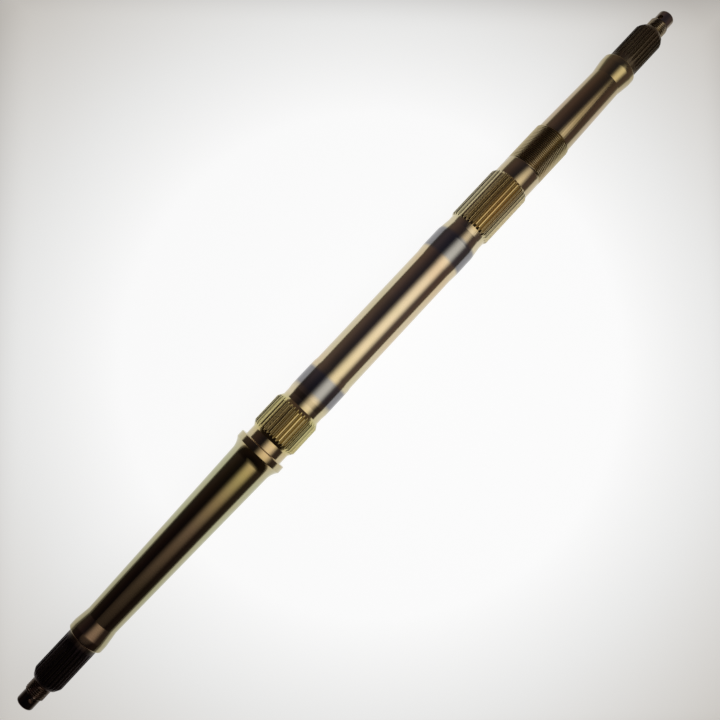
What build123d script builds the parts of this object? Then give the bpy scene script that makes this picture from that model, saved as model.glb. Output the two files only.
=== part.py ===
from build123d import *

import os
from math import acos, cos, degrees, pi, radians, sin, tan

# Rear axle shaft of a quad bike, in millimetres. One steel forging is turned all over, three kinds of
# 30 degree involute spline are hobbed into it, two bearing seats are ground, and three threads are cut.
# It is drawn standing on its left end, along +Z, and laid down along +X as the last step. The origin is
# halfway along its axis. Threads are drawn at their outside diameter.

# Splines: all three kinds share one module, and a tooth count sets each one's diameters.
SPLINE_MODULE = 1.0
PRESSURE_ANGLE = 30.0
HUB_SPLINE_TEETH = 24
SHORT_SPLINE_TEETH = 38
LONG_SPLINE_TEETH = 34
SPLINE_LEAD_ANGLE = 30.0
HOB_RADIUS = 30.0

# Wheel hub end, the same at both ends of the shaft.
NOSE_DIAMETER = 13.8
NOSE_LENGTH = 9.6
NOSE_ROUNDING = 1.7
CENTRE_HOLE_DIAMETER = 5.3
CENTRE_HOLE_ANGLE = 60.0
COTTER_HOLE_DIAMETER = 4.0
COTTER_HOLE_PLACE = 7.5
COTTER_HOLE_TURN = 20.0
STUB_THREAD_DIAMETER = 16.0
STUB_THREAD_LENGTH = 10.4
HUB_SEAT_LENGTH = 41.3
HUB_SPLINE_LENGTH = 28.5
COLLAR_DIAMETER = 30.0
COLLAR_WIDTH = 5.7
COLLAR_CHAMFER = 0.8
COLLAR_BACK_LENGTH = 11.8
COLLAR_NECK_DIAMETER = 26.8
RIGHT_END_TURN_TEETH = 1

# Long left arm, from the left collar's neck to the flange.
LEFT_ARM_LENGTH = 153.3
LEFT_ARM_DIAMETER = 34.5
FLARE_RADIUS = 14.5
FLANGE_DIAMETER = 41.6
FLANGE_WIDTH = 5.8
FLANGE_CHAMFER = 0.6

# Middle, from the flange to the long spline.
CORE_DIAMETER = 34.0
FLANGE_NECK_LENGTH = 8.0
SHORT_SPLINE_LENGTH = 32.8
SEAT_DIAMETER = 35.0
SHORT_SPLINE_NECK_LENGTH = 4.8
LEFT_SEAT_LEAD_LENGTH = 4.4
LEFT_SEAT_LENGTH = 24.5
LEFT_SEAT_RUN_OUT_LENGTH = 3.5
MIDDLE_LENGTH = 112.7
RIGHT_SEAT_LEAD_LENGTH = 7.0
RIGHT_SEAT_LENGTH = 17.6
RELIEF_CONE_LENGTH = 10.5
RELIEF_DIAMETER = 32.4
RELIEF_LENGTH = 5.2

# Right side, from the long spline to the right collar's neck.
LONG_SPLINE_LENGTH = 49.4
LONG_SPLINE_CHAMFER = 1.0
LAND_LENGTH = 15.7
RING_THREAD_DIAMETER = 32.0
RING_THREAD_LENGTH = 36.7
RIGHT_ARM_LENGTH = 64.7
RIGHT_ARM_DIAMETER = 30.0


def tip_radius(teeth):
    """Outside radius of a spline: half a module above its pitch circle."""
    return SPLINE_MODULE * (teeth + 1) / 2


def root_radius(teeth):
    """Radius at the bottom of a spline's gaps: three quarters of a module below its pitch circle."""
    return SPLINE_MODULE * (teeth - 1.5) / 2


def involute(angle):
    return tan(angle) - angle


def gap_half_angle(teeth, radius):
    """Half the angle of the gap between two involute flanks, in radians, at a radius."""
    pressure = radians(PRESSURE_ANGLE)
    base_radius = SPLINE_MODULE * teeth / 2 * cos(pressure)
    flank_angle = acos(min(base_radius / radius, 1))
    return pi / (2 * teeth) - involute(pressure) + involute(flank_angle)


def gap_cutter(teeth, bottom, top, run_out=False):
    """One gap of a spline, centred on +Y, cut straight from bottom to top. With run_out, the round hob then
    climbs out of the bar past the top."""
    root = root_radius(teeth)
    reach = tip_radius(teeth) + SPLINE_MODULE / 2
    flank = [
        (radius * sin(gap_half_angle(teeth, radius)), radius * cos(gap_half_angle(teeth, radius)))
        for radius in (root, (root + reach) / 2, reach)
    ]
    with BuildPart() as cutter:
        with BuildSketch(Plane.XY.offset(bottom)):
            with BuildLine():
                right_flank = ThreePointArc(*flank)
                left_flank = ThreePointArc(*[(-x, y) for x, y in flank])
                Line(right_flank @ 0, left_flank @ 0)
                Line(right_flank @ 1, left_flank @ 1)
            make_face()
        extrude(amount=top - bottom)
        if run_out:
            climb = degrees(acos(1 - (reach - root) / HOB_RADIUS))
            hob_axis = Axis((0, root + HOB_RADIUS, top), (-1, 0, 0))
            end_face = cutter.faces().sort_by(Axis.Z)[-1]
            revolve(end_face, axis=hob_axis, revolution_arc=climb)
    return cutter.part


# Stations of the hub end, from its end face, and of the whole shaft, from its left end.
nose_radius = NOSE_DIAMETER / 2
stub_radius = STUB_THREAD_DIAMETER / 2
hub_radius = tip_radius(HUB_SPLINE_TEETH)
collar_radius = COLLAR_DIAMETER / 2
collar_neck_radius = COLLAR_NECK_DIAMETER / 2
centre_hole_radius = CENTRE_HOLE_DIAMETER / 2
centre_hole_depth = centre_hole_radius / tan(radians(CENTRE_HOLE_ANGLE / 2))
stub_chamfer = stub_radius - nose_radius
hub_lead = hub_radius - stub_radius
hub_start = NOSE_LENGTH + STUB_THREAD_LENGTH
collar_face = hub_start + HUB_SEAT_LENGTH
collar_back = collar_face + COLLAR_WIDTH
hub_end_length = collar_back + COLLAR_BACK_LENGTH

core_radius = CORE_DIAMETER / 2
seat_radius = SEAT_DIAMETER / 2
flange_radius = FLANGE_DIAMETER / 2
relief_radius = RELIEF_DIAMETER / 2
ring_thread_radius = RING_THREAD_DIAMETER / 2
right_arm_radius = RIGHT_ARM_DIAMETER / 2
left_arm_radius = LEFT_ARM_DIAMETER / 2
short_radius = tip_radius(SHORT_SPLINE_TEETH)
long_radius = tip_radius(LONG_SPLINE_TEETH)

# The flare leaves the left arm's cone smoothly and sweeps up to the flange's rim on one arc.
flare_start = hub_end_length + LEFT_ARM_LENGTH
arm_slope = (left_arm_radius - collar_neck_radius) / LEFT_ARM_LENGTH
arm_direction = Vector(arm_slope, 1).normalized()
flare_centre_radius = left_arm_radius + FLARE_RADIUS * arm_direction.Y
flare_end_angle = acos((flare_centre_radius - flange_radius) / FLARE_RADIUS)
flare_turn = degrees(flare_end_angle) - degrees(acos(arm_direction.Y))
flange_start = flare_start + FLARE_RADIUS * (sin(flare_end_angle) - arm_direction.X)
flange_face = flange_start + FLANGE_WIDTH

short_start = flange_face + FLANGE_NECK_LENGTH
short_end = short_start + SHORT_SPLINE_LENGTH
short_lead = (short_radius - core_radius) / tan(radians(SPLINE_LEAD_ANGLE))
left_seat_lead = short_end + SHORT_SPLINE_NECK_LENGTH
left_seat_start = left_seat_lead + LEFT_SEAT_LEAD_LENGTH
left_seat_end = left_seat_start + LEFT_SEAT_LENGTH
middle_start = left_seat_end + LEFT_SEAT_RUN_OUT_LENGTH
middle_end = middle_start + MIDDLE_LENGTH
right_seat_start = middle_end + RIGHT_SEAT_LEAD_LENGTH
right_seat_end = right_seat_start + RIGHT_SEAT_LENGTH
relief_start = right_seat_end + RELIEF_CONE_LENGTH
long_start = relief_start + RELIEF_LENGTH
long_end = long_start + LONG_SPLINE_LENGTH
long_lead = (long_radius - relief_radius) / tan(radians(SPLINE_LEAD_ANGLE))
long_end_lead = LONG_SPLINE_CHAMFER / tan(radians(SPLINE_LEAD_ANGLE))
ring_thread_start = long_end + LAND_LENGTH
ring_thread_end = ring_thread_start + RING_THREAD_LENGTH
ring_thread_chamfer = ring_thread_radius - right_arm_radius
right_neck = ring_thread_end + RIGHT_ARM_LENGTH
shaft_length = right_neck + hub_end_length

# Wheel hub end: nose, stub thread, splined seat and the collar that the hub is clamped against.
with BuildPart() as hub_end:
    with BuildSketch(Plane.XZ) as hub_end_section:
        with BuildLine():
            Line((centre_hole_radius, 0), (nose_radius - NOSE_ROUNDING, 0))
            Bezier((nose_radius - NOSE_ROUNDING, 0), (nose_radius, 0), (nose_radius, NOSE_ROUNDING))
            Polyline(
                (nose_radius, NOSE_ROUNDING),
                (nose_radius, NOSE_LENGTH),
                (stub_radius, NOSE_LENGTH + stub_chamfer),
                (stub_radius, hub_start),
                (hub_radius, hub_start + hub_lead),
                (hub_radius, collar_face),
                (collar_radius, collar_face),
                (collar_radius, collar_back),
                (collar_neck_radius, hub_end_length),
                (0, hub_end_length),
                (0, centre_hole_depth),
                (centre_hole_radius, 0),
            )
        make_face()
        collar_corner = hub_end_section.vertices().sort_by_distance((collar_radius, collar_face))[0]
        chamfer(collar_corner, COLLAR_CHAMFER)
    revolve(axis=Axis.Z)
    hub_gap = gap_cutter(HUB_SPLINE_TEETH, hub_start, hub_start + HUB_SPLINE_LENGTH, run_out=True)
    with PolarLocations(0, HUB_SPLINE_TEETH):
        add(hub_gap, mode=Mode.SUBTRACT)
    with Locations(Location((0, 0, COTTER_HOLE_PLACE), (90, COTTER_HOLE_TURN, 0))):
        Cylinder(COTTER_HOLE_DIAMETER / 2, NOSE_DIAMETER, mode=Mode.SUBTRACT)

# The shaft between the two hub ends, then both ends joined to it.
with BuildPart() as standing_shaft:
    with BuildSketch(Plane.XZ) as middle_section:
        with BuildLine():
            left_arm = Line((collar_neck_radius, hub_end_length), (left_arm_radius, flare_start))
            flare = JernArc(left_arm @ 1, left_arm % 1, FLARE_RADIUS, -flare_turn)
            Polyline(
                flare @ 1,
                (flange_radius, flange_face),
                (core_radius, flange_face),
                (core_radius, short_start),
                (short_radius, short_start + short_lead),
                (short_radius, short_end - short_lead),
                (core_radius, short_end),
                (core_radius, left_seat_lead),
                (seat_radius, left_seat_start),
                (seat_radius, left_seat_end),
                (core_radius, middle_start),
                (core_radius, middle_end),
                (seat_radius, right_seat_start),
                (seat_radius, right_seat_end),
                (relief_radius, relief_start),
                (relief_radius, long_start),
                (long_radius, long_start + long_lead),
                (long_radius, long_end - long_end_lead),
                (long_radius - LONG_SPLINE_CHAMFER, long_end),
                (ring_thread_radius, long_end),
                (ring_thread_radius, ring_thread_end - ring_thread_chamfer),
                (right_arm_radius, ring_thread_end),
                (collar_neck_radius, right_neck),
                (0, right_neck),
                (0, hub_end_length),
                left_arm @ 0,
            )
        make_face()
        for station in (flange_start, flange_face):
            rim_corner = middle_section.vertices().sort_by_distance((flange_radius, station))[0]
            chamfer(rim_corner, FLANGE_CHAMFER)
    revolve(axis=Axis.Z)
    short_gap = gap_cutter(SHORT_SPLINE_TEETH, short_start, short_end)
    with PolarLocations(0, SHORT_SPLINE_TEETH):
        add(short_gap, mode=Mode.SUBTRACT)
    long_gap = gap_cutter(LONG_SPLINE_TEETH, long_start, long_end)
    with PolarLocations(0, LONG_SPLINE_TEETH):
        add(long_gap, mode=Mode.SUBTRACT)
    add(hub_end.part)
    right_end_turn = RIGHT_END_TURN_TEETH * 360 / HUB_SPLINE_TEETH
    with Locations(Location((0, 0, shaft_length), (180, 0, right_end_turn))):
        add(hub_end.part)

# Laid down along +X, with a gap of each spline at the bottom and the origin halfway along.
with BuildPart(Plane.YZ.offset(-shaft_length / 2)) as splined_shaft:
    add(standing_shaft.part)

os.makedirs("parts", exist_ok=True)
splined_shaft.part.label = "splined_shaft"
export_step(splined_shaft.part, "parts/splined_shaft.step")
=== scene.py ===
from math import acos, atan, ceil, cos, hypot, pi, radians, sin, sqrt, tan

import bpy
import numpy as np
from mathutils import Matrix, Vector


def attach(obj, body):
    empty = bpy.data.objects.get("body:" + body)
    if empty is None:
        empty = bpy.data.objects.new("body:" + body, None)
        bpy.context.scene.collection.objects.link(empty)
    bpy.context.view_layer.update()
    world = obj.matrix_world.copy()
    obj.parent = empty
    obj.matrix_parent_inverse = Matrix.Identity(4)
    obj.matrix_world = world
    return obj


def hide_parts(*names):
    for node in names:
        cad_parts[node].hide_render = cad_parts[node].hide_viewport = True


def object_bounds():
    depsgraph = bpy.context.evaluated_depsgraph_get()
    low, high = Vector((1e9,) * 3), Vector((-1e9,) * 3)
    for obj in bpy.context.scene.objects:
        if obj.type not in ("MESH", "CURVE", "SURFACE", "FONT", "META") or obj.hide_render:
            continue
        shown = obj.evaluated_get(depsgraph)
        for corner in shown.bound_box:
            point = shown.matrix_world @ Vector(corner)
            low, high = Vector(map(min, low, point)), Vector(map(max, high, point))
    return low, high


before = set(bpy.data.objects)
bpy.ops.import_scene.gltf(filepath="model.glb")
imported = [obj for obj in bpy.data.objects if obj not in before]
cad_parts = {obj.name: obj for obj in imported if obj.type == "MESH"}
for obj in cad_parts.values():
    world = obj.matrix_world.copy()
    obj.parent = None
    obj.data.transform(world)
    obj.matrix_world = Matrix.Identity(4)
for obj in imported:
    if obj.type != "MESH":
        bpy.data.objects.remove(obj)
cad_low, cad_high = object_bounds()

# ---------------------------------------------------------------------------------------------- turned bar
# The axle starts as a steel forging turned on a lathe between centres: two tapered arms, a stop flange with a
# swept back, necks and reliefs. Its outline is a row of corners, (station, radius, rounding) in millimetres
# from the left end, each with the rounding that the tool left there.

MM = 0.001
LENGTH = (cad_high[0] - cad_low[0]) / MM
PLAIN_POINTS = 144
LEAST_GAP = 0.1

COLLAR_FACE = 61.3
COLLAR_LENGTH = 5.7
COLLAR_RADIUS = 15.0
COLLAR_NECK = (78.8, 13.4)
ARM_END = (232.1, 17.25)
FLARE_RADIUS = 14.5
FLANGE_RADIUS = 20.8
FLANGE_WIDTH = 5.8
CORE_RADIUS = 17.0
SEAT_RADIUS = 17.5
RELIEF_RADIUS = 16.2
SHORT_SPLINE = (255.05, 287.85)
LEFT_SEAT = (297.05, 321.55)
RIGHT_SEAT = (444.75, 462.35)
LEFT_SEAT_TAPERS = (4.4, 3.5)
RIGHT_SEAT_TAPERS = (7.0, 10.5)
LONG_SPLINE = (478.05, 527.45)
RING_THREAD = (543.1, 579.85)
RIGHT_ARM_RADIUS = 15.0
HUB_SPLINE_RADIUS = 12.5
STRAIGHT_ENOUGH = radians(1)
ARC_STEP = radians(9)


def rounded_outline(corners):
    """Points of an outline through corners of (station, radius, rounding), with arcs at rounded corners."""
    places = [Vector(corner[:2]) for corner in corners]
    outline = [places[0]]
    for before, here, after, (_, _, rounding) in zip(places, places[1:], places[2:], corners[1:-1]):
        arriving = (here - before).normalized()
        leaving = (after - here).normalized()
        turn = arriving.angle_signed(leaving)
        if rounding == 0 or abs(turn) < STRAIGHT_ENOUGH:
            outline.append(here)
            continue
        start = here - arriving * rounding * tan(abs(turn) / 2)
        side = 1 if turn > 0 else -1
        centre = start + Vector((arriving.y, -arriving.x)) * rounding * side
        steps = ceil(abs(turn) / ARC_STEP) + 1
        for step in range(steps + 1):
            arm = (start - centre).to_3d()
            arm.rotate(Matrix.Rotation(-turn * step / steps, 3, "Z"))
            outline.append(centre + arm.to_2d())
    return outline + [places[-1]]


def plain_ring(station, radius, points=PLAIN_POINTS):
    """A ring round the bar: rows of (station, radius, angle from the top, depth in a groove from 0 to 1)."""
    angles = 2 * pi * np.arange(points) / points
    return np.column_stack([np.full(points, station), np.full(points, radius), angles, np.zeros(points)])


def turned(outline, points=PLAIN_POINTS):
    """Rings round the bar along an outline of (station, radius)."""
    return [plain_ring(station, radius, points) for station, radius in outline]


collar = [(COLLAR_FACE, COLLAR_RADIUS, 1.0), (COLLAR_FACE + COLLAR_LENGTH, COLLAR_RADIUS, 10.0)]
arm_turn = atan((ARM_END[1] - COLLAR_NECK[1]) / (ARM_END[0] - COLLAR_NECK[0]))
flare_centre = Vector(ARM_END) + FLARE_RADIUS * Vector((-sin(arm_turn), cos(arm_turn)))
flare_end = acos((flare_centre.y - FLANGE_RADIUS) / FLARE_RADIUS)
flare = [
    (flare_centre.x + FLARE_RADIUS * sin(turn), flare_centre.y - FLARE_RADIUS * cos(turn), 0)
    for turn in np.linspace(arm_turn, flare_end, 14)
]
flange_face = flare[-1][0] + FLANGE_WIDTH
left_arm = rounded_outline(
    [(COLLAR_FACE, HUB_SPLINE_RADIUS, 0), *collar, (*COLLAR_NECK, 1.0), *flare[:-1], (*flare[-1][:2], 0.5)]
    + [(flange_face, FLANGE_RADIUS, 0.6), (flange_face, CORE_RADIUS, 0.5), (SHORT_SPLINE[0], CORE_RADIUS, 0)]
)
middle = rounded_outline(
    [
        (SHORT_SPLINE[1], CORE_RADIUS, 0),
        (LEFT_SEAT[0] - LEFT_SEAT_TAPERS[0], CORE_RADIUS, 3.0),
        (LEFT_SEAT[0], SEAT_RADIUS, 3.0),
        (LEFT_SEAT[1], SEAT_RADIUS, 3.0),
        (LEFT_SEAT[1] + LEFT_SEAT_TAPERS[1], CORE_RADIUS, 3.0),
        (RIGHT_SEAT[0] - RIGHT_SEAT_TAPERS[0], CORE_RADIUS, 4.0),
        (RIGHT_SEAT[0], SEAT_RADIUS, 4.0),
        (RIGHT_SEAT[1], SEAT_RADIUS, 5.0),
        (RIGHT_SEAT[1] + RIGHT_SEAT_TAPERS[1], RELIEF_RADIUS, 1.0),
        (LONG_SPLINE[0], RELIEF_RADIUS, 0),
    ]
)
right_arm = rounded_outline(
    [
        (RING_THREAD[1], RIGHT_ARM_RADIUS, 0),
        (RING_THREAD[1] + LEAST_GAP, RIGHT_ARM_RADIUS, 0),
        (LENGTH - COLLAR_NECK[0], COLLAR_NECK[1], 1.0),
        *[(LENGTH - station, radius, rounding) for station, radius, rounding in collar[::-1]],
        (LENGTH - COLLAR_FACE, HUB_SPLINE_RADIUS, 0),
    ]
)

# ------------------------------------------------------------------------------------------------- splines
# The teeth are hobbed into the turned bar: 30 degree involute flanks with a small root fillet. The short and
# the long spline are cut right through their chamfered blanks. On the hub ends the round hob climbs out
# before the collar, so each gap gets shallower and narrower along the hob's radius.

SPLINE_MODULE = 1.0
PRESSURE_ANGLE = radians(30)
LEAD_SLOPE = tan(radians(30))
HOB_RADIUS = 30.0
ROOT_FILLET = 0.25
TOOTH_EDGE = 0.1
SHORT_TEETH = 38
LONG_TEETH = 34
LONG_SPLINE_CHAMFER = 1.0
TIP_ROUNDING = 0.3
LEAD_RING_STEP = 0.4
HOB_RINGS = 9


def tip_radius(teeth):
    """The teeth's outer radius. They stand half a module above the pitch circle."""
    return SPLINE_MODULE * (teeth + 1) / 2


def root_radius(teeth):
    """The radius at the bottom of the gaps, three quarters of a module below the pitch circle."""
    return SPLINE_MODULE * (teeth - 1.5) / 2


def involute(angle):
    """How far an involute has swung from its base circle, for a pressure angle."""
    return tan(angle) - angle


def gap_half_angle(teeth, radius):
    """Half a gap's width at a radius, as an angle seen from the axis."""
    base_radius = SPLINE_MODULE * teeth / 2 * cos(PRESSURE_ANGLE)
    return pi / (2 * teeth) - involute(PRESSURE_ANGLE) + involute(acos(min(base_radius / radius, 1)))


def spline_ring(station, blank_radius, teeth, past_full_depth=0.0):
    """One ring round the teeth. past_full_depth is how far along the bar the hob has begun to climb out."""
    root = root_radius(teeth)
    hob_height = root + HOB_RADIUS
    floor = hob_height - sqrt(HOB_RADIUS**2 - past_full_depth**2)
    depth = max(blank_radius - floor, 0)
    # Where the gap is shallow its fillet and edge are small enough to fit.
    fillet = min(ROOT_FILLET, 0.5 * depth)
    edge = min(TOOTH_EDGE, 0.25 * depth)

    def flank_angle(height):
        on_hob = hob_height - hypot(hob_height - floor - height, past_full_depth)
        return gap_half_angle(teeth, max(on_hob, root))

    root_angle = gap_half_angle(teeth, root)
    low, high = fillet, depth - edge
    half = [
        (0, 0),
        (root_angle - fillet / floor, 0),
        (root_angle - 0.3 * fillet / floor, 0.3 * fillet),
        (flank_angle(low), low),
        (flank_angle((low + high) / 2), (low + high) / 2),
        (flank_angle(high), high),
        (flank_angle(depth) + edge / floor, depth),
        (pi / teeth, depth),
    ]
    # Every point keeps at least this angle from the last, also where the gap has run out to nothing.
    least_step = 0.02 * pi / teeth
    angles = np.maximum.accumulate([angle - least_step * k for k, (angle, _) in enumerate(half)])
    half = [(angle + least_step * k, height) for k, (angle, (_, height)) in enumerate(zip(angles, half))]
    gap = [(-angle, height) for angle, height in half[6:0:-1]] + half
    full_depth = tip_radius(teeth) - root
    gap_floor = blank_radius - depth
    return np.array(
        [
            (station, gap_floor + height, 2 * pi * tooth / teeth + angle, (depth - height) / full_depth)
            for tooth in range(teeth)
            for angle, height in gap
        ]
    )


def toothed(outline, teeth):
    """Rings along an outline, closer together where it slopes and the teeth change shape."""
    rings = [spline_ring(*outline[0], teeth)]
    for here, after in zip(outline, outline[1:]):
        steps = ceil(abs(after[1] - here[1]) / LEAD_RING_STEP) or 1
        for step in range(1, steps + 1):
            rings.append(spline_ring(*Vector(here).lerp(Vector(after), step / steps), teeth))
    return rings


def hob_run_out(full_depth_end, teeth):
    """Rings of the length over which the hob climbs out of the bar."""
    depth = tip_radius(teeth) - root_radius(teeth)
    run_out = sqrt(HOB_RADIUS**2 - (HOB_RADIUS - depth) ** 2)
    return [
        spline_ring(full_depth_end + past, tip_radius(teeth), teeth, past)
        for past in np.linspace(0, run_out, HOB_RINGS)
    ]


short_tip = tip_radius(SHORT_TEETH)
short_lead = (short_tip - CORE_RADIUS) / LEAD_SLOPE
short_outline = rounded_outline(
    [
        (SHORT_SPLINE[0], CORE_RADIUS, 0),
        (SHORT_SPLINE[0] + short_lead, short_tip, TIP_ROUNDING),
        (SHORT_SPLINE[1] - short_lead, short_tip, TIP_ROUNDING),
        (SHORT_SPLINE[1], CORE_RADIUS, 0),
    ]
)
long_tip = tip_radius(LONG_TEETH)
long_outline = rounded_outline(
    [
        (LONG_SPLINE[0], RELIEF_RADIUS, 0),
        (LONG_SPLINE[0] + (long_tip - RELIEF_RADIUS) / LEAD_SLOPE, long_tip, TIP_ROUNDING),
        (LONG_SPLINE[1] - LONG_SPLINE_CHAMFER / LEAD_SLOPE, long_tip, TIP_ROUNDING),
        (LONG_SPLINE[1], long_tip - LONG_SPLINE_CHAMFER, 0),
    ]
)

# ------------------------------------------------------------------------------------------------- threads
# Metric threads of 1.5 mm pitch, single-point cut: 60 degree grooves with a flat crest and a flat root. The
# groove starts in a lead chamfer and runs out at its other end, where the tool is drawn back.

PITCH = 1.5
THREAD_FLANK = radians(30)
THREAD_DEPTH = 0.613 * PITCH
GROOVE_WIDTH = 0.88 * PITCH
RINGS_PER_PITCH = 8
RING_THREAD_RADIUS = 16.0
RING_THREAD_POINTS = 96
RING_THREAD_RUN_OUT = 2.4


def threaded(start, end, radius, points, lead_radius, shallow, full):
    """Rings of a right-hand thread. Its groove deepens from the station shallow to the station full, and the
    end away from shallow has a chamfer down to lead_radius."""
    lead_end = end if shallow < full else start
    rings = []
    for station in np.linspace(start, end, round((end - start) / PITCH * RINGS_PER_PITCH) + 1):
        ring = plain_ring(station, radius, points)
        phase = (station / PITCH + ring[:, 2] / (2 * pi)) % 1
        off_groove = np.abs(phase - 0.5) * PITCH
        depth = np.clip((GROOVE_WIDTH / 2 - off_groove) / tan(THREAD_FLANK), 0, THREAD_DEPTH)
        depth *= np.clip((station - shallow) / (full - shallow), 0, 1)
        ring[:, 1] = np.minimum(radius - depth, lead_radius + abs(station - lead_end))
        ring[:, 3] = depth / THREAD_DEPTH
        rings.append(ring)
    return rings


# ---------------------------------------------------------------------------------------------- hub ends
# Both ends are alike: a smooth nose with a lathe centre and a cotter hole, an M16 thread for the hub nut, the
# hub's spline with a rounded lead, and the collar that the hub is pulled up against.

HUB_TEETH = 24
STUB_POINTS = 72
NOSE_RADIUS = 6.9
STUB_THREAD = (9.65, 20.0)
STUB_THREAD_RADIUS = 8.0
STUB_LEAD_RADIUS = NOSE_RADIUS + 0.05
STUB_RUN_OUT = (19.6, 18.2)
HUB_FULL_DEPTH_END = 48.5
CENTRE_HOLE = [(7.4, 1.25, 0), (2.42, 1.25, 0), (0.0, 2.65, 0.2)]
CENTRE_DRILL_TIP = 8.0

hub_tip = tip_radius(HUB_TEETH)
nose = rounded_outline(CENTRE_HOLE + [(0.0, NOSE_RADIUS, 1.7), (9.6, NOSE_RADIUS, 0)])
hub_lead = rounded_outline([(20.1, 8.2, 0), (20.7, 10.1, 1.5), (24.9, hub_tip, 4.0), (30.0, hub_tip, 0)])
hub_end = turned(nose, STUB_POINTS)
hub_end += threaded(*STUB_THREAD, STUB_THREAD_RADIUS, STUB_POINTS, STUB_LEAD_RADIUS, *STUB_RUN_OUT)
hub_end += toothed(hub_lead[:-1], HUB_TEETH)
hub_end += hob_run_out(HUB_FULL_DEPTH_END, HUB_TEETH)
hub_end.append(hub_end[-1] + [COLLAR_FACE - hub_end[-1][0, 0], 0, 0, 0])


def turned_round(rings):
    """The same rings at the other end of the bar, turned end for end."""
    return [(ring * [-1, 1, -1, 1] + [LENGTH, 0, 0, 0])[::-1] for ring in rings[::-1]]


# ------------------------------------------------------------------------------------------ the whole bar
# All lengths follow each other from the left nose to the right one and close into a single skin, because the
# real axle is one piece of steel with nothing joined on.

bar = list(hub_end)
bar += turned(left_arm[1:-1])
bar += toothed(short_outline, SHORT_TEETH)
bar += turned(middle[1:-1])
bar += toothed(long_outline, LONG_TEETH)
bar += turned([(LONG_SPLINE[1] + LEAST_GAP / 2, RING_THREAD_RADIUS)])
bar += threaded(
    *RING_THREAD,
    RING_THREAD_RADIUS,
    RING_THREAD_POINTS,
    RIGHT_ARM_RADIUS,
    RING_THREAD[0],
    RING_THREAD[0] + RING_THREAD_RUN_OUT,
)
bar += turned(right_arm[1:-1])
bar += turned_round(hub_end)


def zip_rings(first, second, first_start, second_start):
    """Faces between two rings, in fours where their points match and in threes where they don't."""
    a, b = len(first), len(second)
    if a == b:
        return [
            (first_start + k, second_start + k, second_start + (k + 1) % b, first_start + (k + 1) % a)
            for k in range(a)
        ]
    faces = []
    i = j = 0
    while i < a or j < b:
        next_a = first[(i + 1) % a, 2] + 2 * pi * ((i + 1) // a)
        next_b = second[(j + 1) % b, 2] + 2 * pi * ((j + 1) // b)
        if j >= b or (i < a and next_a <= next_b):
            faces.append((first_start + i % a, second_start + j % b, first_start + (i + 1) % a))
            i += 1
        else:
            faces.append((first_start + i % a, second_start + j % b, second_start + (j + 1) % b))
            j += 1
    return faces


def centre_bottom(ring, start, tip):
    """The cone at the bottom of a lathe centre, from its last ring to the tip of the drill."""
    return [(tip, start + k, start + (k + 1) % len(ring)) for k in range(len(ring))]


points, faces, starts = [], [], []
for ring in bar:
    starts.append(len(points))
    x = cad_low[0] + ring[:, 0] * MM
    y = ring[:, 1] * MM * np.sin(ring[:, 2])
    z = ring[:, 1] * MM * np.cos(ring[:, 2])
    points += list(map(tuple, np.column_stack([x, y, z])))
for k in range(len(bar) - 1):
    faces += zip_rings(bar[k], bar[k + 1], starts[k], starts[k + 1])
tips = [len(points), len(points) + 1]
points += [(cad_low[0] + CENTRE_DRILL_TIP * MM, 0, 0), (cad_high[0] - CENTRE_DRILL_TIP * MM, 0, 0)]
faces += centre_bottom(bar[0], starts[0], tips[0])
faces += [face[::-1] for face in centre_bottom(bar[-1], starts[-1], tips[1])]

axle_mesh = bpy.data.meshes.new("axle_shaft")
axle_mesh.from_pydata(points, [], faces)
groove_depth = axle_mesh.attributes.new("groove", "FLOAT", "POINT")
groove_depth.data.foreach_set("value", np.concatenate([ring[:, 3] for ring in bar] + [[0, 0]]))
axle = bpy.data.objects.new("axle_shaft", axle_mesh)
bpy.context.collection.objects.link(axle)

# ------------------------------------------------------------------------------------------- cotter holes
# A 4 mm hole drilled across each nose takes the cotter pin that locks the hub nut. The two are cut out of the
# skin, which is then shaded smooth apart from the sharp edges that the tools left.

COTTER_RADIUS = 2.0
COTTER_PLACE = 7.5
LEFT_COTTER_TURN = radians(-20)
RIGHT_COTTER_TURN = radians(35)
DRILL_POINTS = 32
DRILL_REACH = 10.0
SHARP_EDGE = radians(24)

circle = [2 * pi * k / DRILL_POINTS for k in range(DRILL_POINTS)]
rims = [
    (COTTER_RADIUS * MM * cos(angle), COTTER_RADIUS * MM * sin(angle), height)
    for height in (-DRILL_REACH * MM, DRILL_REACH * MM)
    for angle in circle
]
low_rim = list(range(DRILL_POINTS))
high_rim = [DRILL_POINTS + k for k in low_rim]
sides = [(k, low_rim[(k + 1) % DRILL_POINTS], high_rim[(k + 1) % DRILL_POINTS], high_rim[k]) for k in low_rim]
for station, turn in ((COTTER_PLACE, LEFT_COTTER_TURN), (LENGTH - COTTER_PLACE, RIGHT_COTTER_TURN)):
    drill_mesh = bpy.data.meshes.new("drill")
    drill_mesh.from_pydata(rims, [], sides + [low_rim[::-1], high_rim])
    drill = bpy.data.objects.new("drill", drill_mesh)
    bpy.context.collection.objects.link(drill)
    drill.location = (cad_low[0] + station * MM, 0, 0)
    drill.rotation_euler = (-turn, 0, 0)
    cut = axle.modifiers.new("cotter_hole", "BOOLEAN")
    cut.object = drill
    cut.solver = "EXACT"
    bpy.context.view_layer.update()
    drilled = bpy.data.meshes.new_from_object(axle.evaluated_get(bpy.context.evaluated_depsgraph_get()))
    axle.modifiers.clear()
    axle.data = drilled
    bpy.data.objects.remove(drill)
axle.data.shade_smooth()
axle.data.set_sharp_from_angle(angle=SHARP_EDGE)

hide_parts("splined_shaft")
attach(axle, "root")

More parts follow.
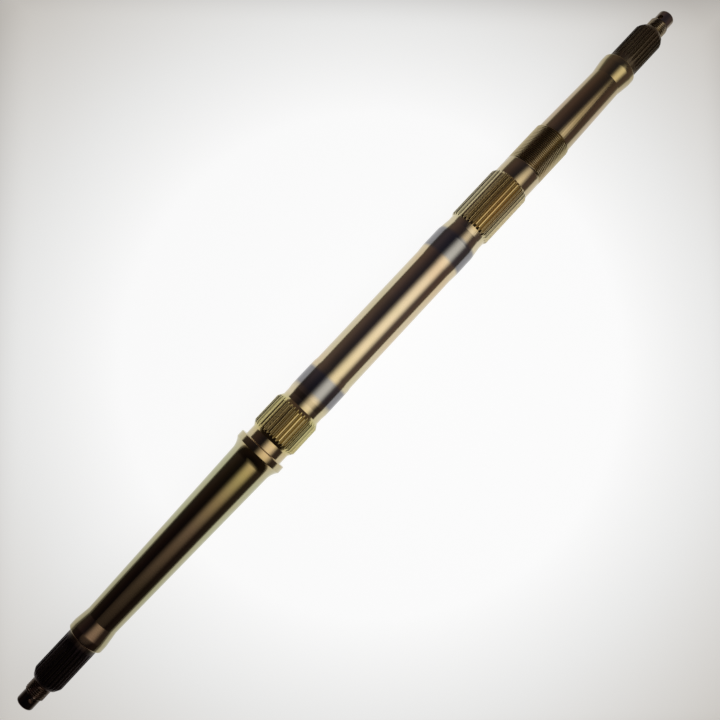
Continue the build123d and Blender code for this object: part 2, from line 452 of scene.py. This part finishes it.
# ---------------------------------------------------------------------------------------- zinc plating
# Yellow-passivated zinc over turned steel: a thin gold film whose hue drifts between olive, straw and rose
# with its thickness. It looks glossy where the lathe left the steel smooth, and duller in the gaps between
# the teeth and in the threads, where film and grease gather; there it is also painted a darker brown towards
# the roots, as painted shade. Its sides carry a painted reflection of the rims. The two bearing seats are
# ground bare after plating.


def linear(code):
    """A linear colour from an sRGB hex code."""
    channels = [int(code[i : i + 2], 16) / 255 for i in (1, 3, 5)]
    return [c / 12.92 if c <= 0.04045 else ((c + 0.055) / 1.055) ** 2.4 for c in channels] + [1]


def add_node(tree, kind, settings=None, inputs=None, stops=None):
    """Adds a node with its settings. An input is a value, or the output that it is linked from, and a ramp's
    stops are (place, colour)."""
    made = tree.nodes.new(kind)
    for name, value in (settings or {}).items():
        setattr(made, name, value)
    for name, value in (inputs or {}).items():
        if isinstance(value, bpy.types.NodeSocket):
            tree.links.new(value, made.inputs[name])
        else:
            made.inputs[name].default_value = value
    for k, (stop, colour) in enumerate(stops or []):
        element = made.color_ramp.elements[k] if k < 2 else made.color_ramp.elements.new(stop)
        element.position = stop
        element.color = colour
    return made


# The film's tint along the bar, as (station, on top, on the sides). The sides' column is painted
# reflection: how the rims look at a grazing angle, painted onto the sides.
FILM_TINTS_AND_PAINTED_RIMS = [
    # left nose and stub thread
    (0.0, "#8E756A", "#433934"),
    (19.0, "#8A7262", "#5A4C42"),
    # left hub spline, nearly black with grease
    (22.0, "#35292A", "#35292A"),
    (59.0, "#35292A", "#35292A"),
    # left collar and arm
    (61.0, "#C9A27E", "#B5AC88"),
    (67.0, "#C09A76", "#B4AC88"),
    (80.0, "#A78865", "#B2AC89"),
    (170.0, "#A78865", "#AFAD8B"),
    (225.0, "#B8A465", "#AFAE8B"),
    (240.0, "#BCA774", "#BAB390"),
    # flange and short spline
    (253.0, "#C4AC82", "#C4B894"),
    (256.0, "#C2AA6E", "#C2B980"),
    (286.0, "#C2AA6E", "#C2B980"),
    # bearing length and relief
    (290.0, "#CFB98F", "#CFC2A2"),
    (440.0, "#CBB997", "#CFC2A2"),
    (476.0, "#CBB790", "#CFC2A2"),
    # long spline
    (479.0, "#C0A56A", "#CBC096"),
    (526.0, "#C0A56A", "#CBC096"),
    # land and ring thread
    (529.0, "#C8B085", "#BFB08F"),
    (541.0, "#C8B085", "#BFB08F"),
    (545.0, "#AD9872", "#BBAC89"),
    (578.0, "#A8936C", "#BBAC89"),
    # right arm and collar
    (582.0, "#C7AE80", "#BEAC8E"),
    (600.0, "#C6AA7A", "#BDAA8E"),
    (640.0, "#C2A874", "#C2B18E"),
    (661.0, "#CDB77E", "#C4B48E"),
    # right hub spline, greased like the left one
    (664.0, "#8B795E", "#54452F"),
    (700.0, "#736148", "#4E4230"),
    # right stub thread and nose
    (704.0, "#B09E7C", "#9A8B70"),
    (713.0, "#B5A48C", "#97897A"),
]
# Bands round the bar: (fades in from, full from, full until, faded out by).
DULL_BANDS = [(20.0, 22.0, 60.0, 61.2), (662.2, 663.4, 701.4, 703.4)]
GROUND_BANDS = [(299.4, 299.8, 316.7, 317.1), (445.3, 445.7, 463.8, 464.2)]
BLACK = (0, 0, 0, 1)
WHITE = (1, 1, 1, 1)
FILM_PATCH = 45.0
PAINTED_ROOT_SHADE = "#554931"
ROOT_SHADE_IN_GROOVES = 0.35
BARE_STEEL_ON_TOP = "#9F9B91"
BARE_STEEL_PAINTED_RIMS = "#868587"
DRAWN_RING_PITCH = 1.1
RING_DEPTH = 0.02
ROUGH_SMOOTH = 0.13
ROUGH_GROUND = 0.15
ROUGH_GREASY = 0.42

plating = bpy.data.materials.new("yellow_zinc_plate")
plating.use_nodes = True
tree = plating.node_tree
tree.nodes.clear()
place = add_node(tree, "ShaderNodeTexCoord").outputs["Object"]
along = add_node(tree, "ShaderNodeSeparateXYZ", {}, {0: place}).outputs["X"]
# How far the surface faces sideways. The sides take a painted rim reflection in place of the top's tint.
outward = add_node(tree, "ShaderNodeVectorMath", {"operation": "MULTIPLY"}, {0: place, 1: (0, 1, 1)})
outward = add_node(tree, "ShaderNodeVectorMath", {"operation": "NORMALIZE"}, {0: outward.outputs[0]})
painted_rim_share = add_node(tree, "ShaderNodeSeparateXYZ", {}, {0: outward.outputs[0]}).outputs["Y"]
painted_rim_share = add_node(tree, "ShaderNodeMath", {"operation": "ABSOLUTE"}, {0: painted_rim_share}).outputs[0]
painted_rim_share = add_node(
    tree,
    "ShaderNodeMapRange",
    {"interpolation_type": "SMOOTHSTEP"},
    {"Value": painted_rim_share, "From Min": 0.4, "From Max": 0.8},
).outputs[0]
share_along = add_node(
    tree, "ShaderNodeMapRange", {}, {"Value": along, "From Min": cad_low[0], "From Max": cad_high[0]}
).outputs[0]
top_tint, painted_rim_tint = [
    add_node(
        tree,
        "ShaderNodeValToRGB",
        {},
        {"Fac": share_along},
        [(station / LENGTH, linear(code)) for station, code in tints],
    ).outputs["Color"]
    for tints in ([(row[0], row[1]) for row in FILM_TINTS_AND_PAINTED_RIMS], [(row[0], row[2]) for row in FILM_TINTS_AND_PAINTED_RIMS])
]
tint = add_node(
    tree, "ShaderNodeMix", {"data_type": "RGBA"}, {0: painted_rim_share, 6: top_tint, 7: painted_rim_tint}
).outputs[2]

# The film's drift, a few centimetres long.
film = add_node(
    tree, "ShaderNodeTexNoise", {}, {"Vector": place, "Scale": 1 / (FILM_PATCH * MM), "Detail": 3}
)
film_drift = add_node(
    tree,
    "ShaderNodeValToRGB",
    {},
    {"Fac": film.outputs["Fac"]},
    [(0.3, linear("#F4F7EE")), (0.5, linear("#FFFFFF")), (0.7, linear("#FFF6F0"))],
).outputs["Color"]
tint = add_node(
    tree, "ShaderNodeMix", {"data_type": "RGBA", "blend_type": "MULTIPLY"}, {0: 1.0, 6: tint, 7: film_drift}
).outputs[2]

# Painted shade: the gaps between the teeth and the thread grooves are painted darker brown towards their
# roots.
groove = add_node(tree, "ShaderNodeAttribute", {"attribute_name": "groove"}).outputs["Fac"]
root_shade_share = add_node(
    tree, "ShaderNodeMath", {"operation": "MULTIPLY"}, {0: groove, 1: ROOT_SHADE_IN_GROOVES}
).outputs[0]
tint = add_node(
    tree, "ShaderNodeMix", {"data_type": "RGBA"}, {0: root_shade_share, 6: tint, 7: linear(PAINTED_ROOT_SHADE)}
).outputs[2]

ground, dull = [
    add_node(
        tree,
        "ShaderNodeValToRGB",
        {},
        {"Fac": share_along},
        [
            (station / LENGTH, shade)
            for band in bands
            for station, shade in zip(band, (BLACK, WHITE, WHITE, BLACK))
        ],
    ).outputs["Color"]
    for bands in (GROUND_BANDS, DULL_BANDS)
]
# Bare steel on the ground seats, with the same painted rim reflection on its sides.
bare_steel_with_painted_rims = add_node(
    tree,
    "ShaderNodeMix",
    {"data_type": "RGBA"},
    {0: painted_rim_share, 6: linear(BARE_STEEL_ON_TOP), 7: linear(BARE_STEEL_PAINTED_RIMS)},
).outputs[2]
tint = add_node(
    tree, "ShaderNodeMix", {"data_type": "RGBA"}, {0: ground, 6: tint, 7: bare_steel_with_painted_rims}
).outputs[2]

# Lathe rings are about 0.1 mm apart, too fine to show, so they are drawn about 1 mm apart.
lathe_rings = add_node(
    tree,
    "ShaderNodeTexNoise",
    {"noise_dimensions": "1D"},
    {"W": along, "Scale": 1 / (DRAWN_RING_PITCH * MM), "Detail": 4},
)
rings_bump = add_node(
    tree,
    "ShaderNodeBump",
    {},
    {"Strength": 0.25, "Distance": RING_DEPTH * MM, "Height": lathe_rings.outputs["Fac"]},
).outputs[0]
smooth_or_ground = add_node(
    tree, "ShaderNodeMapRange", {}, {"Value": ground, "To Min": ROUGH_SMOOTH, "To Max": ROUGH_GROUND}
).outputs[0]
most_dull = add_node(tree, "ShaderNodeMath", {"operation": "MAXIMUM"}, {0: groove, 1: dull}).outputs[0]
roughness = add_node(
    tree, "ShaderNodeMapRange", {}, {"Value": most_dull, "To Min": smooth_or_ground, "To Max": ROUGH_GREASY}
).outputs[0]
shader = add_node(
    tree,
    "ShaderNodeBsdfPrincipled",
    {},
    {"Base Color": tint, "Metallic": 1.0, "Roughness": roughness, "Normal": rings_bump},
)
add_node(tree, "ShaderNodeOutputMaterial", {}, {"Surface": shader.outputs[0]})
axle.data.materials.clear()
axle.data.materials.append(plating)

# --------------------------------------------------------------------------------------------------- floor
# A pale table that the axle lies on: it rests on the flange's rim and on two teeth of the long spline, so the
# table is tipped by the small angle between them. A square of it carries a painted pool of light, greying
# away from its middle, and the rest is painted dim.

FLANGE_REST = (flange_face, FLANGE_RADIUS)
TOOTH_REST = (LONG_SPLINE[1] - 2.0, 17.43)
TABLE_REACH = 4.0
TABLE_CENTRE = (-0.005, -0.018, 0.0)
TABLE_TURN = radians(46.9)
LIT_HALF_SIDES = (0.27, 0.37)
TABLE_SHADES = [(0.0, "#FFFFFF"), (0.2, "#FDFDFD"), (0.28, "#EAEAE9"), (0.4, "#C8C4BE")]
TABLE_GLOW = 1.1
SHARE_OF_GLOW = 0.85
DIM_TABLE = "#66625E"
slope = (FLANGE_REST[1] - TOOTH_REST[1]) / (TOOTH_REST[0] - FLANGE_REST[0])
rest_x = cad_low[0] + FLANGE_REST[0] * MM
floor_mesh = bpy.data.meshes.new("floor")
corners = [(sx * TABLE_REACH, sy * TABLE_REACH) for sx, sy in ((-1, -1), (1, -1), (1, 1), (-1, 1))]
floor_mesh.from_pydata(
    [(x, y, -FLANGE_REST[1] * MM + slope * (x - rest_x)) for x, y in corners], [], [(0, 1, 2, 3)]
)
floor = bpy.data.objects.new("floor", floor_mesh)
bpy.context.collection.objects.link(floor)

paper = bpy.data.materials.new("pale_table")
paper.use_nodes = True
tree = paper.node_tree
tree.nodes.clear()
place = add_node(tree, "ShaderNodeTexCoord").outputs["Object"]
turned_place = add_node(
    tree,
    "ShaderNodeVectorRotate",
    {"rotation_type": "Z_AXIS"},
    {"Vector": place, "Center": TABLE_CENTRE, "Angle": TABLE_TURN},
).outputs[0]
offset = add_node(
    tree, "ShaderNodeVectorMath", {"operation": "SUBTRACT"}, {0: turned_place, 1: TABLE_CENTRE}
).outputs[0]
far_from_middle = add_node(
    tree, "ShaderNodeVectorMath", {"operation": "LENGTH"}, {0: offset}
).outputs["Value"]
offset = add_node(tree, "ShaderNodeVectorMath", {"operation": "ABSOLUTE"}, {0: offset}).outputs[0]
offset = add_node(tree, "ShaderNodeSeparateXYZ", {}, {0: offset})
past_edge = add_node(
    tree, "ShaderNodeMath", {"operation": "MAXIMUM"}, {0: offset.outputs["X"], 1: offset.outputs["Y"]}
).outputs[0]
past_edge = add_node(
    tree,
    "ShaderNodeMapRange",
    {"interpolation_type": "SMOOTHSTEP"},
    {"Value": past_edge, "From Min": LIT_HALF_SIDES[0], "From Max": LIT_HALF_SIDES[1]},
).outputs[0]
# The table's painted pool of light: bright in the middle of the square, greying outwards and dim past its
# edges.
shades = add_node(
    tree,
    "ShaderNodeValToRGB",
    {},
    {"Fac": far_from_middle},
    [(distance, linear(code)) for distance, code in TABLE_SHADES],
)
shades = add_node(
    tree,
    "ShaderNodeMix",
    {"data_type": "RGBA"},
    {0: past_edge, 6: shades.outputs["Color"], 7: linear(DIM_TABLE)},
).outputs[2]
light_path = add_node(tree, "ShaderNodeLightPath")
seen = add_node(
    tree,
    "ShaderNodeMath",
    {"operation": "ADD"},
    {0: light_path.outputs["Is Camera Ray"], 1: light_path.outputs["Is Glossy Ray"]},
)
seen = add_node(
    tree,
    "ShaderNodeMath",
    {"operation": "ADD", "use_clamp": True},
    {0: seen.outputs[0], 1: light_path.outputs["Is Transmission Ray"]},
)
share = add_node(tree, "ShaderNodeMath", {"operation": "MULTIPLY"}, {0: seen.outputs[0], 1: SHARE_OF_GLOW})
matt = add_node(tree, "ShaderNodeBsdfDiffuse", {}, {"Color": linear("#F4F4F4")})
glow = add_node(tree, "ShaderNodeEmission", {}, {"Color": shades, "Strength": TABLE_GLOW})
table = add_node(
    tree, "ShaderNodeMixShader", {}, {0: share.outputs[0], 1: matt.outputs[0], 2: glow.outputs[0]}
)
add_node(tree, "ShaderNodeOutputMaterial", {}, {"Surface": table.outputs[0]})
floor_mesh.materials.append(paper)

# ------------------------------------------------------------------------------------------ studio light
# One wide soft box overhead, brightest over the right of the axle and fading towards its edges, in an
# otherwise dim room. Its cloth's brightness is a share by place in metres, along the axle and across it.

SOFT_BOX_HEIGHT = 0.9
SOFT_BOX_RADIANCE = 1.38
BOX_ALONG = (-0.66, 0.94)
BOX_ACROSS = (-2.0, 0.45)
BRIGHT_ALONG = [
    (-0.60, 0.03),
    (-0.51, 0.065),
    (-0.41, 0.165),
    (-0.34, 0.36),
    (-0.27, 0.6),
    (-0.20, 0.86),
    (0.04, 0.95),
    (0.19, 1.0),
    (0.56, 0.88),
    (0.70, 0.66),
    (0.77, 0.5),
    (0.88, 0.35),
    (0.92, 0.0),
]
BRIGHT_FAR_SIDE = [(-0.38, 1.0), (-0.18, 0.87), (0.0, 0.5), (0.16, 0.13), (0.32, 0.0)]
BRIGHT_NEAR_SIDE = [(-1.95, 0.0), (-1.37, 0.07), (-0.96, 0.5), (-0.62, 0.94), (-0.4, 1.0)]
# Its far edge curves out towards the left end and in towards the right one: (start, direction, bend).
FAR_EDGE_CURVES = [(-0.2, -1, -3.4), (0.19, 1, 0.8)]

lamp = bpy.data.lights.new("soft_box", "AREA")
lamp.shape = "RECTANGLE"
lamp.size = BOX_ALONG[1] - BOX_ALONG[0]
lamp.size_y = BOX_ACROSS[1] - BOX_ACROSS[0]
lamp.energy = SOFT_BOX_RADIANCE * pi * lamp.size * lamp.size_y
lamp.use_nodes = True
tree = lamp.node_tree
tree.nodes.clear()
spot = add_node(tree, "ShaderNodeNewGeometry").outputs["Position"]
spot = add_node(tree, "ShaderNodeSeparateXYZ", {}, {0: spot})
from_far_edge = spot.outputs["Y"]
for curve_start, direction, bend in FAR_EDGE_CURVES:
    past_start = add_node(
        tree,
        "ShaderNodeMath",
        {"operation": "MULTIPLY_ADD", "use_clamp": True},
        {0: spot.outputs["X"], 1: direction, 2: -direction * curve_start},
    ).outputs[0]
    curve = add_node(
        tree, "ShaderNodeMath", {"operation": "MULTIPLY"}, {0: past_start, 1: past_start}
    ).outputs[0]
    from_far_edge = add_node(
        tree, "ShaderNodeMath", {"operation": "MULTIPLY_ADD"}, {0: curve, 1: bend, 2: from_far_edge}
    ).outputs[0]
brightness = 1.0
for distance, reach, shares in (
    (spot.outputs["X"], BOX_ALONG, BRIGHT_ALONG),
    (from_far_edge, BOX_ACROSS, BRIGHT_FAR_SIDE),
    (spot.outputs["Y"], BOX_ACROSS, BRIGHT_NEAR_SIDE),
):
    share = add_node(
        tree, "ShaderNodeMapRange", {}, {"Value": distance, "From Min": reach[0], "From Max": reach[1]}
    )
    ramp = add_node(
        tree,
        "ShaderNodeValToRGB",
        {},
        {"Fac": share.outputs[0]},
        [((edge - reach[0]) / (reach[1] - reach[0]), (level, level, level, 1)) for edge, level in shares],
    )
    brightness = add_node(
        tree, "ShaderNodeMath", {"operation": "MULTIPLY"}, {0: brightness, 1: ramp.outputs["Color"]}
    ).outputs[0]
cloth = add_node(tree, "ShaderNodeEmission", {}, {"Strength": brightness})
add_node(tree, "ShaderNodeOutputLight", {}, {"Surface": cloth.outputs[0]})
soft_box = bpy.data.objects.new("soft_box", lamp)
soft_box.location = (sum(BOX_ALONG) / 2, sum(BOX_ACROSS) / 2, SOFT_BOX_HEIGHT)
soft_box.visible_camera = False
bpy.context.collection.objects.link(soft_box)

# The room is nearly black overhead, warm and a little lighter near the horizon, and darkest beyond the left
# end. Its colours go by the height of the direction, and its level by how far that leans to the right.
ROOM_COLOURS = [
    (0.0, (0.13, 0.1, 0.095, 1)),
    (0.4, (0.105, 0.08, 0.095, 1)),
    (0.68, (0.058, 0.048, 0.068, 1)),
    (0.87, (0.029, 0.028, 0.05, 1)),
]
ROOM_SIDES = [
    (-0.4, 0.13),
    (-0.27, 0.17),
    (-0.16, 0.3),
    (-0.05, 0.42),
    (0.04, 0.5),
    (0.085, 1.0),
    (0.35, 0.9),
    (0.45, 0.85),
    (0.5, 0.9),
]
world = bpy.data.worlds.new("dim_room")
bpy.context.scene.world = world
world.use_nodes = True
tree = world.node_tree
tree.nodes.clear()
direction = add_node(tree, "ShaderNodeTexCoord").outputs["Generated"]
direction = add_node(tree, "ShaderNodeSeparateXYZ", {}, {0: direction})
by_height = add_node(tree, "ShaderNodeValToRGB", {}, {"Fac": direction.outputs["Z"]}, ROOM_COLOURS)
rightward = add_node(
    tree, "ShaderNodeMapRange", {}, {"Value": direction.outputs["X"], "From Min": -0.5, "From Max": 0.5}
)
by_side = add_node(
    tree,
    "ShaderNodeValToRGB",
    {},
    {"Fac": rightward.outputs[0]},
    [(side + 0.5, (level, level, level, 1)) for side, level in ROOM_SIDES],
)
room = add_node(
    tree,
    "ShaderNodeBackground",
    {},
    {"Color": by_height.outputs["Color"], "Strength": by_side.outputs["Color"]},
)
add_node(tree, "ShaderNodeOutputWorld", {}, {"Surface": room.outputs[0]})

# -------------------------------------------------------------------------------------------------- camera
# It looks almost straight down on the axle from above its left half, leaning a little towards the right end,
# and is turned so that the axle rises from the lower left to the upper right.

LEAN = radians(6.7)
RISE = radians(46.90)
CAMERA_DISTANCE = 0.629
LOOKS_AT_STATION = 345.5
looks_at = Vector((cad_low[0] + LOOKS_AT_STATION * MM, 0, 0))
forward = Vector((sin(LEAN), 0, -cos(LEAN)))
along_axle = Vector((cos(LEAN), 0, sin(LEAN)))
across_axle = Vector((0, 1, 0))
right = cos(RISE) * along_axle - sin(RISE) * across_axle
up = sin(RISE) * along_axle + cos(RISE) * across_axle
camera_data = bpy.data.cameras.new("camera")
camera_data.sensor_width = 36
camera_data.lens = 41.25
camera_data.shift_x = 0.01042
camera_data.shift_y = -0.00973
camera = bpy.data.objects.new("camera", camera_data)
bpy.context.collection.objects.link(camera)
camera.matrix_world = Matrix.Translation(looks_at - forward * CAMERA_DISTANCE) @ Matrix(
    [(right[i], up[i], -forward[i]) for i in range(3)]
).to_4x4()
bpy.context.scene.camera = camera
bpy.context.scene.view_settings.view_transform = "Standard"
